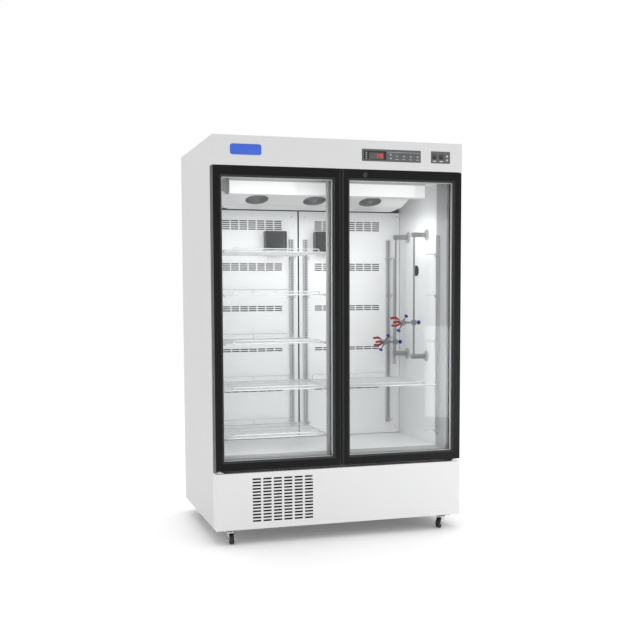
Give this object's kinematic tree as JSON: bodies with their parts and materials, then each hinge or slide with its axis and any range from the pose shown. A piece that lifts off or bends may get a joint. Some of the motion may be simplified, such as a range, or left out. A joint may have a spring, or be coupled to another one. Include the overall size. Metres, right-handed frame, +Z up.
{
  "type": "laboratory incubator",
  "caption": "Upright laboratory incubator on casters with hinged glass doors, wire shelves, a ceiling fan and lamp unit, a clamp lattice and a cable port.",
  "frame": {"origin": "middle of the footprint, on the floor that the casters stand on", "axes": "+X to the right seen from the front, +Y to the rear, +Z up; the doors face -Y"},
  "size_m": [1.26, 0.844, 1.93],
  "materials": {
    "white_steel": "satin powder coat",
    "rear_steel": "satin powder coat",
    "chassis": "matt",
    "foam": "foam",
    "liner": "satin",
    "collar": "satin",
    "panel_grey": "satin",
    "display": "gloss",
    "board": "satin",
    "fan_plastic": "matt",
    "diffuser": "opal",
    "fins": "mill",
    "standard_steel": "satin",
    "outlet": "satin",
    "stainless": "brushed",
    "zinc": "bright zinc",
    "compressor_black": "gloss",
    "condenser_metal": "dusty",
    "copper": "drawn tube",
    "inlet": "satin",
    "door_black": "gloss",
    "door_glass": "clear",
    "gasket": "matt",
    "lock_chrome": "polished",
    "shelf_wire": "electropolished",
    "switch_black": "satin",
    "key_grey": "satin",
    "tyre": "matt",
    "plug_rubber": "matt",
    "clamp_metal": "cast and machined",
    "clamp_red": "vinyl dipped"
  },
  "bodies": {
    "cabinet": {"cabinet_panels": "white_steel", "rear_panel": "rear_steel", "base_frame": "chassis", "foam_walls": "foam", "inner_liner": "liner", "door_collar": "collar", "header_cover": "white_steel", "lower_panel": "white_steel", "control_panel": "panel_grey", "display_window": "display", "control_board": "board", "fan_unit_cover": "liner", "fan_housings": "fan_plastic", "lamp_diffuser": "diffuser", "evaporator": "fins", "duct_panels": "liner", "shelf_standards": "standard_steel", "outlet_boxes": "outlet", "lattice_rods": "stainless", "hinge_brackets": "zinc", "compressor": "compressor_black", "condenser": "condenser_metal", "refrigerant_pipes": "copper", "power_inlet": "inlet"},
    "left_door": {"left_door_frame": "door_black", "left_door_glass": "door_glass", "left_door_gasket": "gasket"},
    "right_door": {"right_door_frame": "door_black", "right_door_glass": "door_glass", "right_door_gasket": "gasket"},
    "door_lock": {"door_lock": "lock_chrome"},
    "shelf_left_1": {"shelf_left_1": "shelf_wire"},
    "shelf_left_2": {"shelf_left_2": "shelf_wire"},
    "shelf_left_3": {"shelf_left_3": "shelf_wire"},
    "shelf_left_4": {"shelf_left_4": "shelf_wire"},
    "shelf_left_5": {"shelf_left_5": "shelf_wire"},
    "shelf_right": {"shelf_right": "shelf_wire"},
    "rocker_power": {"rocker_power": "switch_black"},
    "rocker_light": {"rocker_light": "switch_black"},
    "key_set": {"key_set": "key_grey"},
    "key_down": {"key_down": "key_grey"},
    "key_up": {"key_up": "key_grey"},
    "key_alarm": {"key_alarm": "key_grey"},
    "caster_fork_front_left": {"caster_fork_front_left": "zinc"},
    "caster_fork_front_right": {"caster_fork_front_right": "zinc"},
    "caster_fork_rear_left": {"caster_fork_rear_left": "zinc"},
    "caster_fork_rear_right": {"caster_fork_rear_right": "zinc"},
    "caster_wheel_front_left": {"caster_wheel_front_left": "tyre"},
    "caster_wheel_front_right": {"caster_wheel_front_right": "tyre"},
    "caster_wheel_rear_left": {"caster_wheel_rear_left": "tyre"},
    "caster_wheel_rear_right": {"caster_wheel_rear_right": "tyre"},
    "evaporator_fan_left": {"evaporator_fan_left": "fan_plastic"},
    "evaporator_fan_middle": {"evaporator_fan_middle": "fan_plastic"},
    "evaporator_fan_right": {"evaporator_fan_right": "fan_plastic"},
    "condenser_fan": {"condenser_fan": "fan_plastic"},
    "port_plug": {"port_plug": "plug_rubber"},
    "upper_clamp": {"upper_clamp": "clamp_metal"},
    "upper_clamp_jaw": {"upper_clamp_jaw": "clamp_red"},
    "lower_clamp": {"lower_clamp": "clamp_metal"},
    "lower_clamp_jaw": {"lower_clamp_jaw": "clamp_red"}
  },
  "joints": [
    {"name": "left_door_hinge", "type": "hinge", "parent": "cabinet", "child": "left_door", "pos_m": [-0.606, -0.396, 1.073], "axis": [0, 0, 1], "range_deg": [-115, 0]},
    {"name": "right_door_hinge", "type": "hinge", "parent": "cabinet", "child": "right_door", "pos_m": [0.606, -0.396, 1.073], "axis": [0, 0, 1], "range_deg": [0, 115]},
    {"name": "lock_turn", "type": "hinge", "parent": "right_door", "child": "door_lock", "pos_m": [0.119, -0.4, 1.764], "axis": [0, 1, 0], "range_deg": [0, 90]},
    {"name": "shelf_left_1_lift", "type": "slide", "parent": "cabinet", "child": "shelf_left_1", "axis": [0, 0, 1], "range_m": [0, 0.01]},
    {"name": "shelf_left_2_lift", "type": "slide", "parent": "cabinet", "child": "shelf_left_2", "axis": [0, 0, 1], "range_m": [0, 0.01]},
    {"name": "shelf_left_3_lift", "type": "slide", "parent": "cabinet", "child": "shelf_left_3", "axis": [0, 0, 1], "range_m": [0, 0.01]},
    {"name": "shelf_left_4_lift", "type": "slide", "parent": "cabinet", "child": "shelf_left_4", "axis": [0, 0, 1], "range_m": [0, 0.01]},
    {"name": "shelf_left_5_lift", "type": "slide", "parent": "cabinet", "child": "shelf_left_5", "axis": [0, 0, 1], "range_m": [0, 0.01]},
    {"name": "shelf_right_lift", "type": "slide", "parent": "cabinet", "child": "shelf_right", "axis": [0, 0, 1], "range_m": [0, 0.01]},
    {"name": "power_rocker_tilt", "type": "hinge", "parent": "cabinet", "child": "rocker_power", "pos_m": [0.482, -0.414, 1.862], "axis": [1, 0, 0], "range_deg": [-12, 0]},
    {"name": "light_rocker_tilt", "type": "hinge", "parent": "cabinet", "child": "rocker_light", "pos_m": [0.518, -0.414, 1.862], "axis": [1, 0, 0], "range_deg": [-12, 0]},
    {"name": "key_set_press", "type": "slide", "parent": "cabinet", "child": "key_set", "axis": [0, 1, 0], "range_m": [0, 0.0006], "stiffness_N_per_m": 800},
    {"name": "key_down_press", "type": "slide", "parent": "cabinet", "child": "key_down", "axis": [0, 1, 0], "range_m": [0, 0.0006], "stiffness_N_per_m": 800},
    {"name": "key_up_press", "type": "slide", "parent": "cabinet", "child": "key_up", "axis": [0, 1, 0], "range_m": [0, 0.0006], "stiffness_N_per_m": 800},
    {"name": "key_alarm_press", "type": "slide", "parent": "cabinet", "child": "key_alarm", "axis": [0, 1, 0], "range_m": [0, 0.0006], "stiffness_N_per_m": 800},
    {"name": "swivel_front_left", "type": "hinge", "parent": "cabinet", "child": "caster_fork_front_left", "pos_m": [-0.55, -0.365, 0.06], "axis": [0, 0, 1], "continuous": true},
    {"name": "swivel_front_right", "type": "hinge", "parent": "cabinet", "child": "caster_fork_front_right", "pos_m": [0.55, -0.365, 0.06], "axis": [0, 0, 1], "continuous": true},
    {"name": "swivel_rear_left", "type": "hinge", "parent": "cabinet", "child": "caster_fork_rear_left", "pos_m": [-0.55, 0.362, 0.06], "axis": [0, 0, 1], "continuous": true},
    {"name": "swivel_rear_right", "type": "hinge", "parent": "cabinet", "child": "caster_fork_rear_right", "pos_m": [0.55, 0.362, 0.06], "axis": [0, 0, 1], "continuous": true},
    {"name": "roll_front_left", "type": "hinge", "parent": "caster_fork_front_left", "child": "caster_wheel_front_left", "pos_m": [-0.55, -0.39, 0.025], "axis": [1, 0, 0], "continuous": true},
    {"name": "roll_front_right", "type": "hinge", "parent": "caster_fork_front_right", "child": "caster_wheel_front_right", "pos_m": [0.53232, -0.38268, 0.025], "axis": [0.7071, -0.7071, 0], "continuous": true},
    {"name": "roll_rear_left", "type": "hinge", "parent": "caster_fork_rear_left", "child": "caster_wheel_rear_left", "pos_m": [-0.55, 0.337, 0.025], "axis": [1, 0, 0], "continuous": true},
    {"name": "roll_rear_right", "type": "hinge", "parent": "caster_fork_rear_right", "child": "caster_wheel_rear_right", "pos_m": [0.55, 0.337, 0.025], "axis": [1, 0, 0], "continuous": true},
    {"name": "evaporator_fan_left_spin", "type": "hinge", "parent": "cabinet", "child": "evaporator_fan_left", "pos_m": [-0.325, -0.04182, 1.67009], "axis": [0, 0.309, 0.9511], "continuous": true},
    {"name": "evaporator_fan_middle_spin", "type": "hinge", "parent": "cabinet", "child": "evaporator_fan_middle", "pos_m": [-0.02, -0.04182, 1.67009], "axis": [0, 0.309, 0.9511], "continuous": true},
    {"name": "evaporator_fan_right_spin", "type": "hinge", "parent": "cabinet", "child": "evaporator_fan_right", "pos_m": [0.285, -0.04182, 1.67009], "axis": [0, 0.309, 0.9511], "continuous": true},
    {"name": "condenser_fan_spin", "type": "hinge", "parent": "cabinet", "child": "condenser_fan", "pos_m": [-0.3, -0.304, 0.212], "axis": [0, 1, 0], "continuous": true},
    {"name": "port_plug_pull", "type": "slide", "parent": "cabinet", "child": "port_plug", "axis": [-1, 0, 0], "range_m": [0, 0.06]},
    {"name": "upper_clamp_turn", "type": "hinge", "parent": "cabinet", "child": "upper_clamp", "pos_m": [0.502, -0.118, 1.04], "axis": [0, 0, 1], "range_deg": [-40, 40]},
    {"name": "upper_jaw_open", "type": "hinge", "parent": "upper_clamp", "child": "upper_clamp_jaw", "pos_m": [0.41406, -0.14195, 1.04613], "axis": [-0.1593, 0.7493, 0.6428], "range_deg": [0, 25]},
    {"name": "lower_clamp_turn", "type": "hinge", "parent": "cabinet", "child": "lower_clamp", "pos_m": [0.502, 0.14, 0.926], "axis": [0, 0, 1], "range_deg": [-40, 10]},
    {"name": "lower_jaw_open", "type": "hinge", "parent": "lower_clamp", "child": "lower_clamp_jaw", "pos_m": [0.41406, 0.11605, 0.93213], "axis": [-0.1593, 0.7493, 0.6428], "range_deg": [0, 25]}
  ]
}
